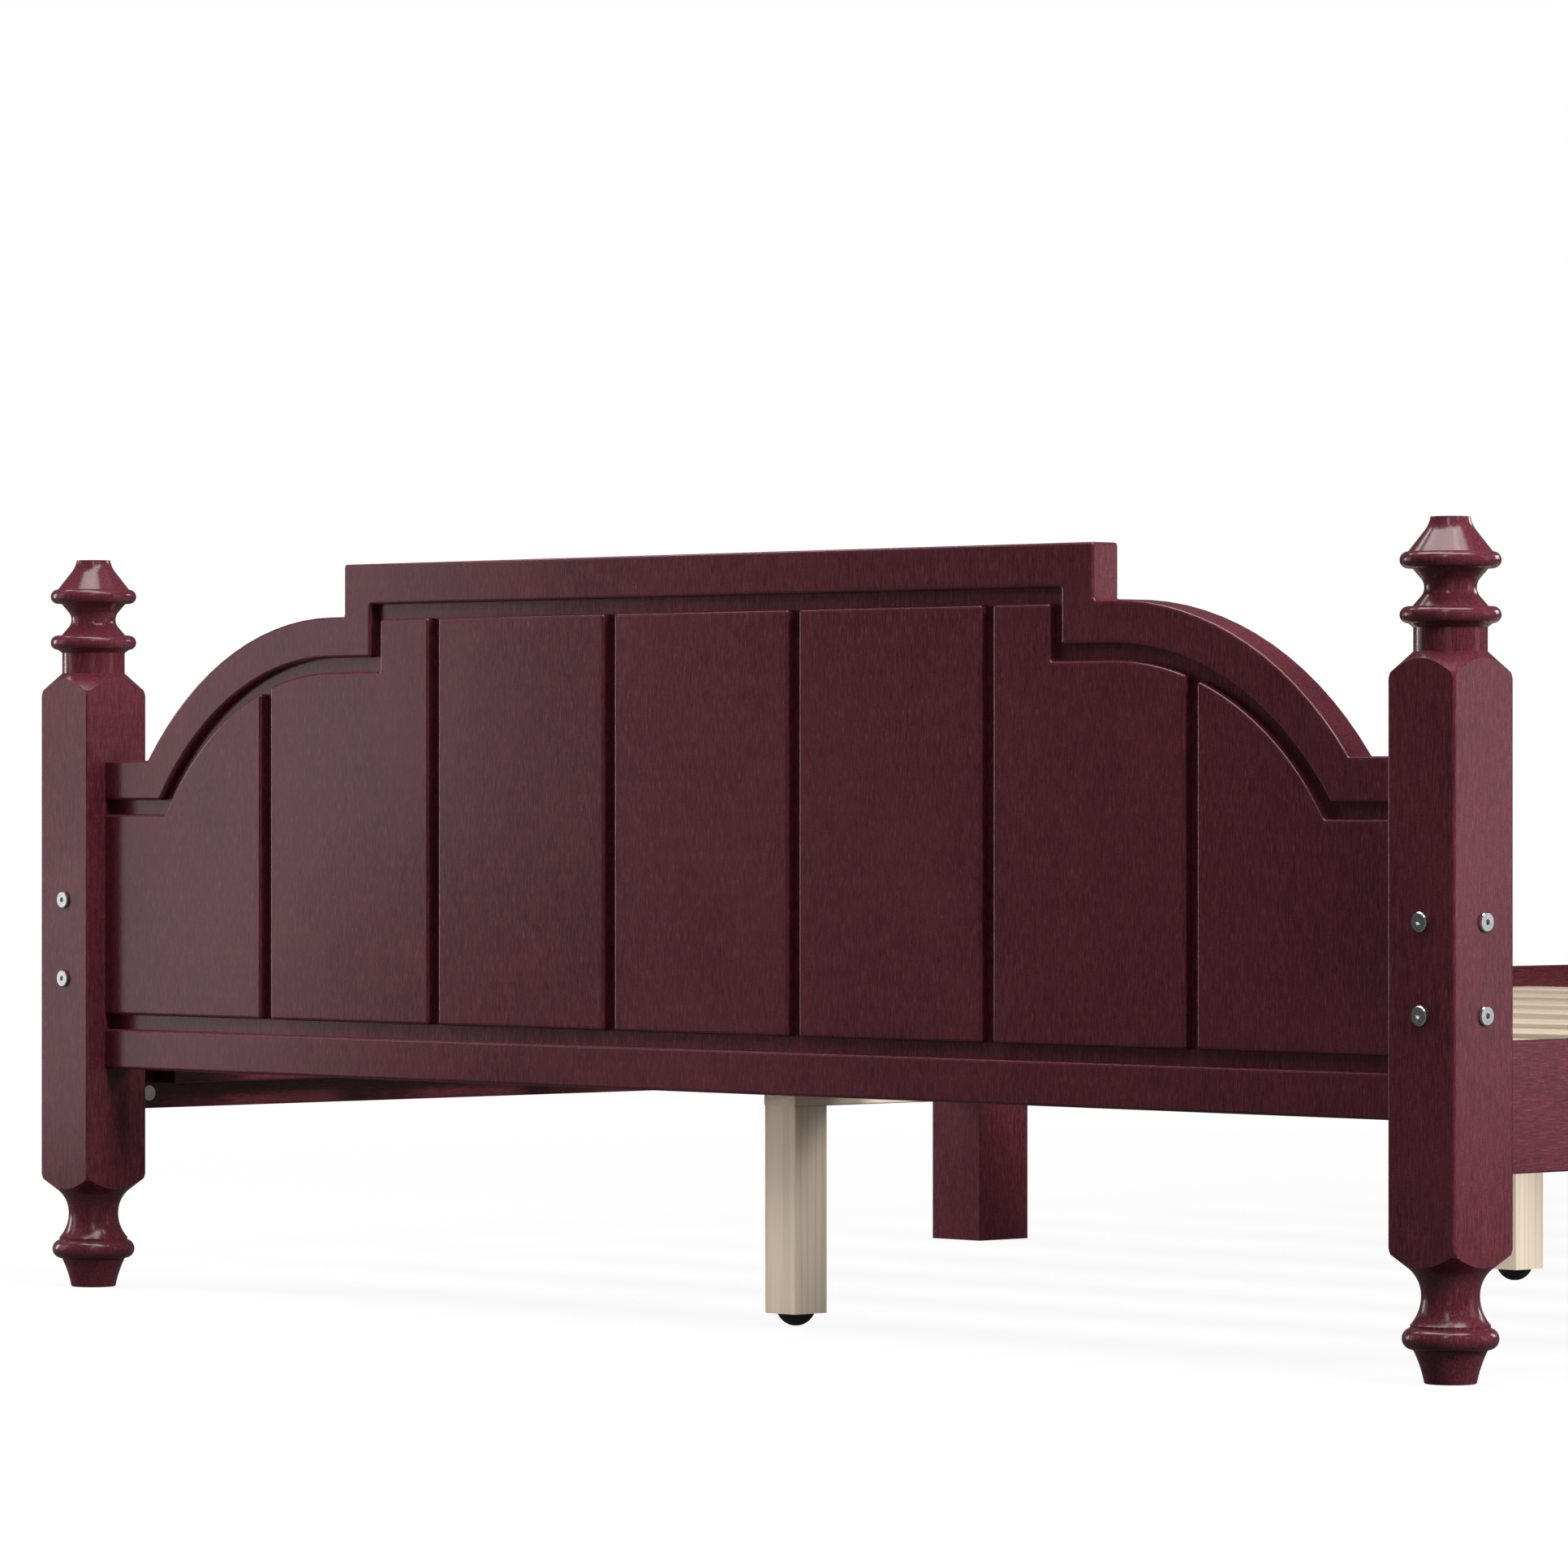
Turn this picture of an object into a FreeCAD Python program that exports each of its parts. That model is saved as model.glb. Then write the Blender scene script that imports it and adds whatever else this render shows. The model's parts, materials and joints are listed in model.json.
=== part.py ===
"""Queen platform bed with turned posts, an arched footboard and a taller headboard of the same design.

Millimetres. X runs across the bed, Y from the footboard to the headboard and Z up.
The origin is on the floor under the middle of the bed.
"""
import FreeCAD, Part
import math
import os
import re
import Sketcher

Vector = FreeCAD.Vector
Rotation = FreeCAD.Rotation
Placement = FreeCAD.Placement

# Counts of what repeats
PLANK_COUNT = 7
SLATS_PER_HALF = 5

# Driving sizes, in millimetres
SIZES = {
    "post_span_across": 1535.0,
    "post_span_along": 2109.0,
    "post_side": 63.5,
    "post_edge": 2.5,
    "post_round_height": 14.0,
    "post_round_depth": 2.35,
    "post_square_start": 91.1,
    "post_taper_height": 8.2,
    "post_taper_radius": 31.8,
    "post_reach": 59.2,
    "post_shoulder_height": 14.7,
    "post_cove_curve": 24.7,
    "head_rise": 430.0,
    "finial_height": 95.4,
    "finial_collar_radius": 26.3,
    "finial_collar_height": 17.0,
    "finial_ring_radius": 36.0,
    "finial_ring_height": 12.0,
    "finial_lower_ring_level": 25.9,
    "finial_upper_ring_level": 64.7,
    "finial_cove_radius": 27.0,
    "finial_neck_radius": 18.6,
    "finial_neck_height": 12.4,
    "finial_neck_depth": 2.2,
    "finial_tip_height": 9.9,
    "finial_cone_radius": 18.4,
    "finial_top_radius": 14.1,
    "finial_top_curve": 22.5,
    "foot_height": 63.0,
    "foot_sole_radius": 18.8,
    "foot_sole_edge": 1.2,
    "foot_taper_curve": 90.0,
    "foot_ring_radius": 34.5,
    "foot_ring_height": 15.8,
    "foot_ring_level": 31.9,
    "foot_shoulder_radius": 28.6,
    "foot_shoulder_height": 2.0,
    "foot_neck_radius": 20.9,
    "foot_neck_curve": 30.0,
    "board_thickness": 27.5,
    "board_setback": 19.0,
    "board_bottom": 185.0,
    "bottom_rail_height": 33.5,
    "board_band": 33.0,
    "channel_width": 12.0,
    "channel_depth": 7.5,
    "crown_height": 602.3,
    "crown_half_width": 426.0,
    "crown_step": 42.5,
    "arch_flat": 17.5,
    "arch_rise": 116.2,
    "shoulder_run": 55.5,
    "rail_tongue": 8.0,
    "plank_tongue": 6.0,
    "tongue_gap": 0.5,
    "edge_ease": 2.5,
    "plain_edge": 1.5,
    "fit": 0.1,
    "side_rail_bottom": 148.0,
    "side_rail_height": 94.0,
    "side_rail_thickness": 18.0,
    "side_rail_outset": 12.0,
    "cam_radius": 6.5,
    "cam_depth": 13.5,
    "cam_setback": 38.5,
    "cam_spacing": 68.0,
    "stud_radius": 3.0,
    "stud_grip": 12.0,
    "ledger_thickness": 28.0,
    "ledger_height": 37.0,
    "ledger_end_gap": 44.0,
    "slat_width": 86.0,
    "slat_thickness": 15.0,
    "slat_drop": 20.0,
    "slat_middle_gap": 146.0,
    "outer_slat_inset": 102.5,
    "slat_end_gap": 3.0,
    "beam_side": 35.0,
    "centre_leg_side": 35.0,
    "outer_leg_inset": 90.0,
    "inner_leg_offset": 117.5,
    "glide_radius": 14.5,
    "glide_sole_radius": 3.0,
    "glide_height": 9.5,
    "glide_gap": 0.3,
    "glide_curve": 15.8,
    "stem_length": 25.0,
    "stem_fit": 0.08,
    "insert_radius": 5.0,
    "insert_length": 13.0,
    "insert_depth": 1.0,
    "bolt_radius": 3.0,
    "bolt_head_radius": 7.2,
    "bolt_head_height": 2.5,
    "bolt_head_bevel": 0.8,
    "socket_across_flats": 4.0,
    "socket_depth": 1.6,
    "bolt_upper_margin": 72.0,
    "bolt_lower_margin": 30.0,
    "board_bolt_reach": 45.0,
    "face_bolt_length": 20.0,
    "barrel_radius": 5.0,
    "barrel_length": 18.0,
    "barrel_setback": 35.0,
    "hanger_radius": 4.0,
    "hanger_reach": 28.0,
    "dowel_radius": 5.0,
    "dowel_reach": 25.0,
    "screw_radius": 2.0,
    "screw_head_radius": 4.0,
    "screw_head_height": 2.2,
    "screw_length": 40.0,
    "end_play": 0.5,
}

# Sizes worked out from the driving ones, as formulas
HALF_ACROSS = "(post_span_across / 2)"
HALF_ALONG = "(post_span_along / 2)"
POST_HALF = "(post_side / 2)"
POST_CORNER = "(post_side / sqrt(2))"
POST_TURN = "(%s - post_round_depth)" % POST_CORNER
POST_ROUND = "((post_round_height ^ 2 + post_round_depth ^ 2) / (2 * post_round_depth))"
BOARD_HALF = "(post_span_across / 2 - post_side / 2)"
BOARD_INSET = "(board_setback + board_thickness / 2 - post_side / 2)"
BOARD_LINE = "(post_span_along / 2 - %s)" % BOARD_INSET
TONGUE_THICKNESS = "(board_thickness - 2 * channel_depth)"
BOTTOM_RAIL_TOP = "(board_bottom + bottom_rail_height)"
ARCH_TOP = "(crown_height - crown_step)"
SHOULDER = "(%s - arch_rise)" % ARCH_TOP
ARCH_START = "(crown_half_width + arch_flat)"
ARCH_RUN = "(%s - shoulder_run - %s)" % (BOARD_HALF, ARCH_START)
ARCH_CURVE = "((%s ^ 2 + arch_rise ^ 2) / (2 * arch_rise))" % ARCH_RUN
BOLT_LEVELS = {
    "upper": "(%s - board_band - channel_width - bolt_upper_margin)" % SHOULDER,
    "lower": "(%s + channel_width + bolt_lower_margin)" % BOTTOM_RAIL_TOP,
}
POST_SQUARE_END = "(%s + post_reach)" % SHOULDER
TOP_DOWEL = "(%s - board_band / 2)" % SHOULDER
BOTTOM_DOWEL = "(board_bottom + bottom_rail_height / 2)"
PLANK_PITCH = "(2 * %s / %d)" % (BOARD_HALF, PLANK_COUNT)
SIDE_RAIL_TOP = "(side_rail_bottom + side_rail_height)"
SIDE_RAIL_MIDDLE = "(side_rail_bottom + side_rail_height / 2)"
SIDE_RAIL_OFFSET = "(side_rail_outset + side_rail_thickness / 2)"
SIDE_RAIL_LENGTH = "(post_span_along / 2 - post_side)"
HALF_MIDDLE = "(post_span_along / 4)"
SLAT_TOP = "(%s - slat_drop)" % SIDE_RAIL_TOP
SLAT_BOTTOM = "(%s - slat_thickness)" % SLAT_TOP
LEDGER_LINE = "(post_span_across / 2 + side_rail_outset - ledger_thickness / 2)"
LEDGER_LENGTH = "(%s - 2 * ledger_end_gap)" % SIDE_RAIL_LENGTH
BEAM_BOTTOM = "(%s - beam_side)" % SLAT_BOTTOM
BEAM_LENGTH = "(post_span_along / 2 - outer_leg_inset + centre_leg_side / 2)"
LEG_LINES = {"outer": "(%s - outer_leg_inset)" % HALF_ALONG, "inner": "inner_leg_offset"}
LEG_BOTTOM = "(glide_height + glide_gap)"
LEG_LENGTH = "(%s - %s)" % (BEAM_BOTTOM, LEG_BOTTOM)

# Points closer than this, in millimetres, are taken as one
NEAR = 1e-6

# Signs of the two ends and the two sides
ENDS = {"footboard": -1, "headboard": 1}
SIDES = {"left": -1, "right": 1}

doc = FreeCAD.newDocument("platform_bed")
sheet = doc.addObject("Spreadsheet::Sheet", "Sizes")
for row, (alias, number) in enumerate(SIZES.items(), start=1):
    sheet.set("A%d" % row, alias.replace("_", " "))
    sheet.set("B%d" % row, str(number))
    sheet.setAlias("B%d" % row, alias)
doc.recompute()

# Every sub-part that is written out, by its label
subparts = {}


def formula(text):
    """The text with each size's name written as a reference to the sheet."""
    def refer(match):
        word = match.group()
        return "Sizes." + word if word in SIZES else word
    return re.sub(r"[a-z_]+", refer, str(text))


def size(text):
    """Present value of a formula."""
    return float(sheet.evalExpression(formula(text)))


def bind(thing, path, text):
    """Ties a property of an object to a formula."""
    thing.setExpression(path, formula(text))


def place(thing, x="0", y="0", z="0"):
    """Ties an object's position to three formulas."""
    bind(thing, "Placement.Base.x", x)
    bind(thing, "Placement.Base.y", y)
    bind(thing, "Placement.Base.z", z)


def new_body(label):
    """A body that is written out under its label."""
    body = doc.addObject("PartDesign::Body", label)
    body.Label = label
    subparts[label] = body
    return body


def pattern_body(label):
    """A body that is only copied into groups."""
    body = doc.addObject("PartDesign::Body", label)
    body.Label = label
    return body


def new_sketch(body, name, plane):
    """A sketch on one of the body's own origin planes."""
    sketch = body.newObject("Sketcher::SketchObject", name)
    support = [feature for feature in body.Origin.OriginFeatures if feature.Role == plane][0]
    sketch.AttachmentSupport = [(support, "")]
    sketch.MapMode = "FlatFace"
    return sketch


def arc_between(start, end, radius, turn):
    """The shorter arc from start to end: turn 1 runs counter-clockwise and -1 clockwise."""
    chord = end - start
    rise = math.sqrt(max(radius ** 2 - chord.Length ** 2 / 4, 0.0))
    left = Vector(-chord.y, chord.x, 0).normalize()
    centre = (start + end) * 0.5 + left * (rise * turn)
    first, last = (start, end) if turn > 0 else (end, start)
    begin = math.atan2(first.y - centre.y, first.x - centre.x)
    finish = math.atan2(last.y - centre.y, last.x - centre.x)
    if finish < begin:
        finish += 2 * math.pi
    return Part.ArcOfCircle(Part.Circle(centre, Vector(0, 0, 1), radius), begin, finish)


def outline(sketch, corners):
    """Draws a closed outline tied to the sheet.

    A corner is (x, y), or (x, y, radius, turn) where an arc leads from it to the next corner.
    """
    first = sketch.GeometryCount
    count = len(corners)
    points = [Vector(size(corner[0]), size(corner[1]), 0) for corner in corners]
    ends = []
    for index, corner in enumerate(corners):
        start = points[index]
        end = points[(index + 1) % count]
        if len(corner) == 2:
            sketch.addGeometry(Part.LineSegment(start, end))
            ends.append((1, 2))
        else:
            sketch.addGeometry(arc_between(start, end, size(corner[2]), corner[3]))
            ends.append((1, 2) if corner[3] > 0 else (2, 1))
    for index, corner in enumerate(corners):
        edge = first + index
        before = (index - 1) % count
        point = points[index]
        start_end = ends[index][0]
        joint = Sketcher.Constraint("Coincident", edge, start_end, first + before, ends[before][1])
        sketch.addConstraint(joint)
        across = sketch.addConstraint(Sketcher.Constraint("DistanceX", -1, 1, edge, start_end, point.x))
        up = sketch.addConstraint(Sketcher.Constraint("DistanceY", -1, 1, edge, start_end, point.y))
        bind(sketch, "Constraints[%d]" % across, corner[0])
        bind(sketch, "Constraints[%d]" % up, corner[1])
        if len(corner) > 2:
            bend = sketch.addConstraint(Sketcher.Constraint("Radius", edge, size(corner[2])))
            bind(sketch, "Constraints[%d]" % bend, corner[2])


def pad(body, sketch, length):
    """A pad of the sketch, half to each side of its plane."""
    feature = body.newObject("PartDesign::Pad", "Pad")
    feature.Profile = sketch
    feature.SideType = "Symmetric"
    bind(feature, "Length", length)
    return feature


def revolve(body, sketch, kind):
    """A full turn of the sketch about its upright axis: kind is Revolution or Groove."""
    feature = body.newObject("PartDesign::" + kind, kind)
    feature.Profile = sketch
    feature.ReferenceAxis = (sketch, ["V_Axis"])
    feature.Angle = 360
    return feature


def bore(body, radius, depth, start, direction):
    """A round hole from a point, given as three formulas, along a direction."""
    hole = body.newObject("PartDesign::SubtractiveCylinder", "Bore")
    hole.Placement = Placement(Vector(), Rotation(Vector(0, 0, 1), Vector(*direction)))
    place(hole, *start)
    bind(hole, "Radius", radius)
    bind(hole, "Height", depth)
    return hole


def ease(body, feature, radius, wanted):
    """Rounds the edges of a feature that the test picks."""
    doc.recompute()
    names = []
    for index, edge in enumerate(feature.Shape.Edges, start=1):
        if wanted(edge):
            names.append("Edge%d" % index)
    fillet = body.newObject("PartDesign::Fillet", "Ease")
    fillet.Base = (feature, names)
    bind(fillet, "Radius", radius)
    return fillet


def runs_along(direction):
    """A test for straight edges along a direction."""
    def wanted(edge):
        ends = [vertex.Point for vertex in edge.Vertexes]
        if len(ends) < 2:
            return False
        way = (ends[1] - ends[0]).normalize()
        return abs(way.dot(Vector(*direction))) > 0.999
    return wanted


def is_board_rim(edge):
    """Tells whether an edge lies in the front or the back face of a board, and not against a post."""
    points = [vertex.Point for vertex in edge.Vertexes]
    in_face = all(abs(abs(point.y) - size("board_thickness / 2")) < NEAR for point in points)
    at_post = all(abs(abs(point.x) - size(BOARD_HALF)) < NEAR for point in points)
    return in_face and not at_post


PLANE_NORMALS = {"XY_Plane": (0, 0, 1), "XZ_Plane": (0, 1, 0), "YZ_Plane": (1, 0, 0)}


def bar(body, plane, width, height, length, edge):
    """A straight bar centred on the body's origin, with its long edges rounded."""
    sketch = new_sketch(body, "Section", plane)
    outline(sketch, [
        ("-%s / 2" % width, "-%s / 2" % height),
        ("%s / 2" % width, "-%s / 2" % height),
        ("%s / 2" % width, "%s / 2" % height),
        ("-%s / 2" % width, "%s / 2" % height),
    ])
    feature = pad(body, sketch, length)
    ease(body, feature, edge, runs_along(PLANE_NORMALS[plane]))


def turned(start, direction=(0, 0, 1)):
    """Placement of a copy: its own Z axis along the direction, from a point given as three formulas."""
    point = Vector(*[size(text) for text in start])
    return Placement(point, Rotation(Vector(0, 0, 1), Vector(*direction)))


def group(label, pattern, placements):
    """Separate solids of one pattern, written out together."""
    doc.recompute()
    solids = []
    for placement in placements:
        solid = pattern.Shape.copy()
        solid.Placement = placement.multiply(solid.Placement)
        solids.append(solid)
    feature = doc.addObject("Part::Feature", label)
    feature.Label = label
    feature.Shape = Part.makeCompound(solids)
    subparts[label] = feature


# Corner posts, finials and turned feet
def corner_post(end, side):
    """A square post with its corners turned round towards a coved lower end and a tapered shoulder."""
    body = new_body("%s_post_%s" % (end, side))
    rise = "head_rise" if end == "headboard" else "0"
    square_end = "(%s + %s)" % (POST_SQUARE_END, rise)
    top = "(%s + post_shoulder_height)" % square_end
    outward = SIDES[side]
    inward = -ENDS[end]
    sketch = new_sketch(body, "Section", "XY_Plane")
    outline(sketch, [
        ("-post_side / 2", "-post_side / 2"),
        ("post_side / 2", "-post_side / 2"),
        ("post_side / 2", "post_side / 2"),
        ("-post_side / 2", "post_side / 2"),
    ])
    square = body.newObject("PartDesign::Pad", "Square")
    square.Profile = sketch
    bind(square, "Length", "%s - foot_height" % top)
    bind(sketch, "AttachmentOffset.Base.z", "foot_height")
    ease(body, square, "post_edge", runs_along((0, 0, 1)))
    waste = "(%s + post_side / 10)" % POST_CORNER
    ends = new_sketch(body, "Ends", "XZ_Plane")
    outline(ends, [
        ("foot_neck_radius", "foot_height", "post_cove_curve", -1),
        ("post_taper_radius", "post_square_start - post_taper_height"),
        (POST_TURN, "post_square_start", POST_ROUND, 1),
        (POST_CORNER, "post_square_start + post_round_height"),
        (waste, "post_square_start + post_round_height"),
        (waste, "foot_height"),
    ])
    outline(ends, [
        (POST_CORNER, "%s - post_round_height" % square_end, POST_ROUND, 1),
        (POST_TURN, square_end),
        ("finial_collar_radius", top),
        (waste, top),
        (waste, "%s - post_round_height" % square_end),
    ])
    revolve(body, ends, "Groove")
    board_y = "%d * %s" % (inward, BOARD_INSET)
    inner_x = "-%d * %s" % (outward, POST_HALF)
    for height in BOLT_LEVELS.values():
        outer_x = "%d * %s" % (outward, POST_HALF)
        bore(body, "bolt_radius + fit", "post_side", (outer_x, board_y, height), (-outward, 0, 0))
        bore(body, "insert_radius + fit", "face_bolt_length + end_play",
             ("0", "-%d * %s" % (inward, POST_HALF), height), (0, inward, 0))
    for height in ("%s + %s" % (TOP_DOWEL, rise), BOTTOM_DOWEL):
        bore(body, "dowel_radius + fit", "dowel_reach + end_play", (inner_x, board_y, height), (outward, 0, 0))
    for sign in (-1, 1):
        height = "%s + %d * cam_spacing / 2" % (SIDE_RAIL_MIDDLE, sign)
        bore(body, "stud_radius + fit", "stud_grip + end_play",
             ("%d * %s" % (outward, SIDE_RAIL_OFFSET), "%d * %s" % (inward, POST_HALF), height),
             (0, -inward, 0))
    bore(body, "hanger_radius + fit", "hanger_reach + end_play", ("0", "0", "foot_height"), (0, 0, 1))
    bore(body, "hanger_radius + fit", "hanger_reach + end_play", ("0", "0", top), (0, 0, -1))
    place(body, "%d * %s" % (outward, HALF_ACROSS), "%d * %s" % (ENDS[end], HALF_ALONG))
    return top


def finial(end, side, base):
    """A turned finial: a collar, two half-round rings about a waist, and a cone with a flared tip."""
    body = new_body("%s_finial_%s" % (end, side))
    half_ring = "(finial_ring_height / 2)"
    root = "(finial_ring_radius - %s)" % half_ring
    middle = "((finial_lower_ring_level + finial_upper_ring_level) / 2)"
    neck_end = "(finial_neck_radius + finial_neck_depth)"
    neck_curve = "((finial_neck_height ^ 2 / 4 + finial_neck_depth ^ 2) / (2 * finial_neck_depth))"
    sketch = new_sketch(body, "Profile", "XZ_Plane")
    outline(sketch, [
        ("0", "0"),
        ("finial_collar_radius", "0"),
        ("finial_collar_radius", "finial_collar_height"),
        (root, "finial_lower_ring_level - " + half_ring, half_ring, 1),
        ("finial_ring_radius", "finial_lower_ring_level", half_ring, 1),
        (root, "finial_lower_ring_level + " + half_ring),
        ("finial_cove_radius", "finial_lower_ring_level + " + half_ring),
        (neck_end, "%s - finial_neck_height / 2" % middle, neck_curve, -1),
        (neck_end, "%s + finial_neck_height / 2" % middle),
        ("finial_cove_radius", "finial_upper_ring_level - " + half_ring),
        (root, "finial_upper_ring_level - " + half_ring, half_ring, 1),
        ("finial_ring_radius", "finial_upper_ring_level", half_ring, 1),
        (root, "finial_upper_ring_level + " + half_ring),
        ("finial_cone_radius", "finial_height - finial_tip_height", "finial_top_curve", -1),
        ("finial_top_radius", "finial_height"),
        ("0", "finial_height"),
    ])
    revolve(body, sketch, "Revolution")
    bore(body, "hanger_radius + fit", "hanger_reach + end_play", ("0", "0", "0"), (0, 0, 1))
    place(body, "%d * %s" % (SIDES[side], HALF_ACROSS), "%d * %s" % (ENDS[end], HALF_ALONG), base)


def turned_foot(end, side):
    """A turned foot: a flared sole, one bold half-round ring, a small step and a coved neck."""
    body = new_body("%s_foot_%s" % (end, side))
    half_ring = "(foot_ring_height / 2)"
    root = "(foot_ring_radius - %s)" % half_ring
    shoulder_level = "(foot_ring_level + sqrt(%s ^ 2 - (foot_shoulder_radius - %s) ^ 2))" % (half_ring, root)
    sketch = new_sketch(body, "Profile", "XZ_Plane")
    outline(sketch, [
        ("0", "0"),
        ("foot_sole_radius - foot_sole_edge", "0", "foot_sole_edge", 1),
        ("foot_sole_radius", "foot_sole_edge", "foot_taper_curve", -1),
        (root, "foot_ring_level - " + half_ring, half_ring, 1),
        ("foot_ring_radius", "foot_ring_level", half_ring, 1),
        ("foot_shoulder_radius", shoulder_level),
        ("foot_shoulder_radius", "%s + foot_shoulder_height" % shoulder_level, "foot_neck_curve", -1),
        ("foot_neck_radius", "foot_height"),
        ("0", "foot_height"),
    ])
    revolve(body, sketch, "Revolution")
    bore(body, "hanger_radius + fit", "hanger_reach + end_play", ("0", "0", "foot_height"), (0, 0, -1))
    place(body, "%d * %s" % (SIDES[side], HALF_ACROSS), "%d * %s" % (ENDS[end], HALF_ALONG))


# End boards
def arch_half(inset, rise):
    """Right half of the board's arched top edge, moved in by an inset, from the post to the crown's corner."""
    shoulder = "(%s - %s + %s)" % (SHOULDER, inset, rise)
    arch_top = "(%s - %s + %s)" % (ARCH_TOP, inset, rise)
    curve = "(%s - %s)" % (ARCH_CURVE, inset)
    foot = "(%s + sqrt(arch_rise * (2 * %s - arch_rise)))" % (ARCH_START, curve)
    return [
        (BOARD_HALF, shoulder),
        (foot, shoulder, curve, 1),
        (ARCH_START, arch_top),
        ("crown_half_width - %s" % inset, arch_top),
        ("crown_half_width - %s" % inset, "crown_height - %s + %s" % (inset, rise)),
    ]


def mirrored(points):
    """The same points on the other side of the board, in the opposite order."""
    flipped = []
    for index in range(len(points) - 1, -1, -1):
        corner = ("-(%s)" % points[index][0], points[index][1])
        if index > 0 and len(points[index - 1]) > 2:
            corner = corner + points[index - 1][2:]
        flipped.append(corner)
    return flipped


def reversed_way(points):
    """The same points walked backwards, so that each arc turns the other way."""
    back = []
    for index in range(len(points) - 1, -1, -1):
        corner = points[index][:2]
        if index > 0 and len(points[index - 1]) > 2:
            radius, turn = points[index - 1][2:]
            corner = corner + (radius, -turn)
        back.append(corner)
    return back


def arch_band(outer, inner, rise):
    """The band of a board between two insets of its arched edge."""
    upper = arch_half(outer, rise)
    lower = arch_half(inner, rise)
    return upper + mirrored(upper) + reversed_way(lower + mirrored(lower))


def top_rail(end):
    """The arched rail along the top of a board, grooved below for the planks."""
    body = new_body("%s_top_rail" % end)
    rise = "head_rise" if end == "headboard" else "0"
    sketch = new_sketch(body, "Band", "XZ_Plane")
    outline(sketch, arch_band("0", "board_band", rise))
    solid = pad(body, sketch, "board_thickness")
    ease(body, solid, "edge_ease", is_board_rim)
    groove = new_sketch(body, "Slot", "XZ_Plane")
    outline(groove, arch_band("(board_band - rail_tongue)", "(board_band + edge_ease)", rise))
    cut = body.newObject("PartDesign::Pocket", "Groove")
    cut.Profile = groove
    cut.SideType = "Symmetric"
    bind(cut, "Length", "%s + 2 * fit" % TONGUE_THICKNESS)
    for sign in (-1, 1):
        bore(body, "dowel_radius + fit", "dowel_reach + end_play",
             ("%d * %s" % (sign, BOARD_HALF), "0", "%s + %s" % (TOP_DOWEL, rise)), (-sign, 0, 0))
    place(body, y="%d * %s" % (ENDS[end], BOARD_LINE))


def bottom_rail(end):
    """The straight rail along the bottom of a board, grooved above for the planks."""
    body = new_body("%s_bottom_rail" % end)
    bar(body, "YZ_Plane", "board_thickness", "bottom_rail_height", "2 * " + BOARD_HALF, "edge_ease")
    groove = new_sketch(body, "Slot", "YZ_Plane")
    half_slot = "(%s / 2 + fit)" % TONGUE_THICKNESS
    outline(groove, [
        ("-" + half_slot, "bottom_rail_height / 2 - rail_tongue"),
        (half_slot, "bottom_rail_height / 2 - rail_tongue"),
        (half_slot, "bottom_rail_height / 2"),
        ("-" + half_slot, "bottom_rail_height / 2"),
    ])
    cut = body.newObject("PartDesign::Pocket", "Groove")
    cut.Profile = groove
    cut.SideType = "Symmetric"
    bind(cut, "Length", "2 * " + BOARD_HALF)
    for sign in (-1, 1):
        bore(body, "dowel_radius + fit", "dowel_reach + end_play",
             ("%d * %s" % (sign, BOARD_HALF), "0", "0"), (-sign, 0, 0))
    place(body, y="%d * %s" % (ENDS[end], BOARD_LINE), z="board_bottom + bottom_rail_height / 2")


def blank(name, inset, bottom, thickness, end):
    """A board-wide blank below an inset of the arched edge, from which the planks are cut."""
    rise = "head_rise" if end == "headboard" else "0"
    sketch = doc.addObject("Sketcher::SketchObject", "%s_%s_outline" % (end, name))
    sketch.Placement = Placement(Vector(), Rotation(Vector(1, 0, 0), 90))
    upper = arch_half(inset, rise)
    outline(sketch, upper + mirrored(upper) + [("-" + BOARD_HALF, bottom), (BOARD_HALF, bottom)])
    solid = doc.addObject("Part::Extrusion", "%s_%s_blank" % (end, name))
    solid.Base = sketch
    solid.DirMode = "Normal"
    solid.Solid = True
    solid.Symmetric = True
    bind(solid, "LengthFwd", thickness)
    return solid


def block(name, low_x, high_x, depth):
    """An upright box between two X formulas, as deep as asked and higher than any board."""
    box = doc.addObject("Part::Box", name)
    bind(box, "Length", "%s - (%s)" % (high_x, low_x))
    bind(box, "Width", depth)
    bind(box, "Height", "crown_height + head_rise")
    place(box, low_x, "-(%s) / 2" % depth, "0")
    return box


def boolean(kind, name, base, tool):
    """One boolean of two solids: kind is Common, Cut or Fuse."""
    result = doc.addObject("Part::" + kind, name)
    result.Base = base
    result.Tool = tool
    return result


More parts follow.
